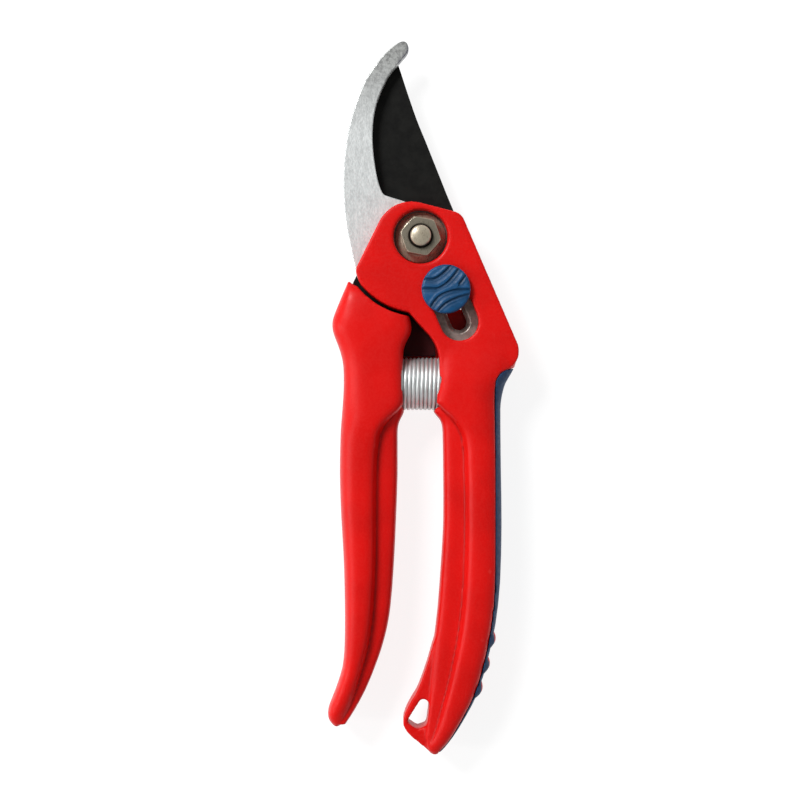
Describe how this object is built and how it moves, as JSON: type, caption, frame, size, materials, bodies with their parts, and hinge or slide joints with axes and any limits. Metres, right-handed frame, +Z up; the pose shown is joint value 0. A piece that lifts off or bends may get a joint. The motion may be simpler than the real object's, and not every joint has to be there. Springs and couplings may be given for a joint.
{
  "type": "pruning shears",
  "caption": "Bypass pruning shears with a steel hook, a black coated cutting blade, moulded handles, a handle spring and a sliding lock, lying closed",
  "frame": {"origin": "on the pivot axis, at the flat face of the bolt head that the shears rest on", "axes": "+Y along the shears towards the blades, +Z up out of the lying shears towards the nut and the lock button, +X towards the upper handle with the soft grip"},
  "size_m": [0.0532, 0.199, 0.02],
  "materials": {
    "brushed_hook_steel": "brushed along the hook",
    "black_blade_coating": "matt non-stick coating",
    "red_nylon": "satin moulded, fine spark texture",
    "soft_grip": "matt soft-touch",
    "nickel_fasteners": "dull warm nickel plate",
    "blue_plastic": "satin with moulded waves",
    "lock_steel": "bright",
    "spring_wire": "bright zinc"
  },
  "bodies": {
    "upper": {"hook_blade": "brushed_hook_steel", "upper_handle": "red_nylon", "grip_pad": "soft_grip", "pivot_bolt": "nickel_fasteners", "pivot_nut": "nickel_fasteners", "pivot_washer": "nickel_fasteners", "handle_spring": "spring_wire"},
    "lower": {"cutting_blade": "black_blade_coating", "lower_handle": "red_nylon"},
    "lock": {"lock_button": "blue_plastic", "lock_pin": "lock_steel", "lock_collar": "lock_steel", "lock_wave_washer": "lock_steel"}
  },
  "joints": [
    {"name": "shears_pivot", "type": "hinge", "parent": "upper", "child": "lower", "pos_m": [0, 0, 0.00825], "axis": [0, 0, -1], "range_deg": [0, 30], "stiffness_Nm_per_rad": 1.2, "springref_deg": 37.24, "deforming": ["handle_spring"]},
    {"name": "lock_slide", "type": "slide", "parent": "upper", "child": "lock", "axis": [0.3907, -0.9205, 0], "range_m": [0, 0.0096]}
  ]
}
